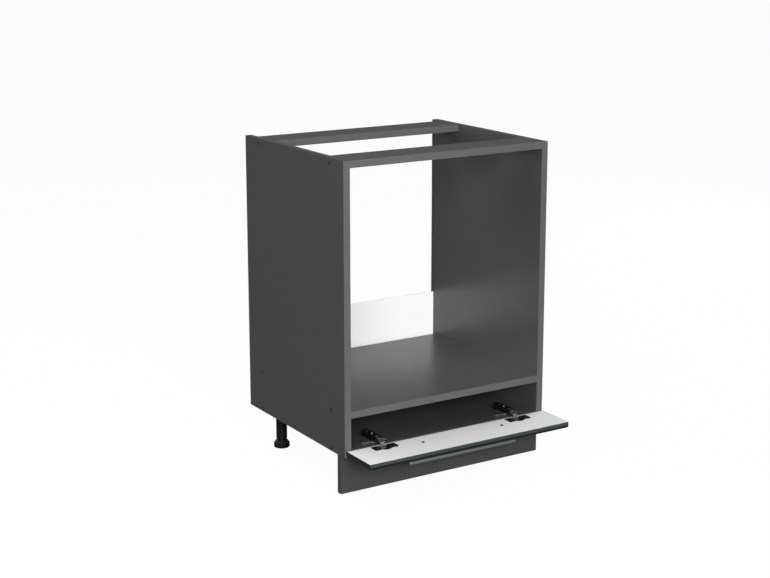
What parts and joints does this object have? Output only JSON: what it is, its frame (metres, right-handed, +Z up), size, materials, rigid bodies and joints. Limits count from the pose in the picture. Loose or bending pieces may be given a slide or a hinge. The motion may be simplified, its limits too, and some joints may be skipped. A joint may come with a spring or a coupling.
{
  "type": "oven housing base cabinet",
  "caption": "Open-fronted base cabinet on legs for a built-in oven, with a shelf, top rails, low back panel, plinth and a drop-down flap on cup hinges.",
  "frame": {"origin": "on the floor, in the middle of the plan outline with the flap lying open", "axes": "+X to the right seen from the front, +Y to the rear, +Z up; the front faces -Y"},
  "size_m": [0.6, 0.614, 0.83],
  "materials": {
    "carcass_board": "semi-gloss dark grey melamine facing on board",
    "edge_band": "satin grey edge band",
    "plinth_board": "satin dark grey facing on board",
    "back_panel": "white lacquered hardboard",
    "flap_core": "satin white facing on fibreboard",
    "flap_gloss": "high-gloss dark blue-green skin",
    "dowel_wood": "plain beech",
    "black_plastic": "moulded black plastic",
    "hinge_black": "black plated steel",
    "hinge_steel": "nickel-plated steel",
    "handle_metal": "satin metal",
    "dark_screw": "dark burnished steel",
    "zinc_screw": "zinc-plated steel"
  },
  "bodies": {
    "carcass": {"back_panel": "back_panel", "back_panel_nails": "zinc_screw", "bottom_edge_band": "edge_band", "bottom_panel": "carcass_board", "carcass_screws": "dark_screw", "front_left_leg": "black_plastic", "front_left_plinth_clip": "black_plastic", "front_rail": "carcass_board", "front_rail_edge_band": "edge_band", "front_right_leg": "black_plastic", "front_right_plinth_clip": "black_plastic", "hinge_arm_pins": "hinge_steel", "hinge_arm_screws": "zinc_screw", "hinge_plate_screws": "dark_screw", "left_hinge_arm": "hinge_black", "left_hinge_plate": "hinge_steel", "left_side_edge_band": "edge_band", "left_side_panel": "carcass_board", "leg_screws": "zinc_screw", "oven_shelf": "carcass_board", "plinth_board": "plinth_board", "plinth_clip_screws": "zinc_screw", "rail_dowels": "dowel_wood", "rear_left_leg": "black_plastic", "rear_rail": "carcass_board", "rear_rail_edge_band": "edge_band", "rear_right_leg": "black_plastic", "right_hinge_arm": "hinge_black", "right_hinge_plate": "hinge_steel", "right_side_edge_band": "edge_band", "right_side_panel": "carcass_board", "shelf_edge_band": "edge_band"},
    "upper_links": {"left_upper_link": "hinge_steel", "right_upper_link": "hinge_steel"},
    "lower_links": {"left_lower_link": "hinge_steel", "right_lower_link": "hinge_steel"},
    "flap": {"flap_core": "flap_core", "flap_skin": "flap_gloss", "handle_bar": "handle_metal", "handle_screws": "dark_screw", "hinge_cup_pins": "hinge_steel", "hinge_cup_screws": "dark_screw", "left_handle_post": "handle_metal", "left_hinge_cup": "hinge_black", "right_handle_post": "handle_metal", "right_hinge_cup": "hinge_black"},
    "front_left_foot": {"front_left_foot": "black_plastic"},
    "front_right_foot": {"front_right_foot": "black_plastic"},
    "rear_left_foot": {"rear_left_foot": "black_plastic"},
    "rear_right_foot": {"rear_right_foot": "black_plastic"}
  },
  "joints": [
    {"name": "upper_link_swing", "type": "hinge", "parent": "carcass", "child": "upper_links", "pos_m": [0, -0.19, 0.132], "axis": [1, 0, 0], "range_deg": [0, 9.03]},
    {"name": "flap_fold", "type": "hinge", "parent": "upper_links", "child": "flap", "pos_m": [0, -0.20681, 0.1122], "axis": [-1, 0, 0], "range_deg": [0, 99.02]},
    {"name": "lower_link_swing", "type": "hinge", "parent": "carcass", "child": "lower_links", "pos_m": [0, -0.184, 0.1265], "axis": [1, 0, 0], "range_deg": [0, 24.94]},
    {"name": "front_left_levelling", "type": "slide", "parent": "carcass", "child": "front_left_foot", "axis": [0, 0, -1], "range_m": [-0.004, 0.012]},
    {"name": "front_right_levelling", "type": "slide", "parent": "carcass", "child": "front_right_foot", "axis": [0, 0, -1], "range_m": [-0.004, 0.012]},
    {"name": "rear_left_levelling", "type": "slide", "parent": "carcass", "child": "rear_left_foot", "axis": [0, 0, -1], "range_m": [-0.004, 0.012]},
    {"name": "rear_right_levelling", "type": "slide", "parent": "carcass", "child": "rear_right_foot", "axis": [0, 0, -1], "range_m": [-0.004, 0.012]}
  ],
  "couplings": [
    {"joint": "upper_link_swing", "follows": "flap_fold", "ratio": 0.091052},
    {"joint": "lower_link_swing", "follows": "flap_fold", "ratio": 0.25174}
  ]
}
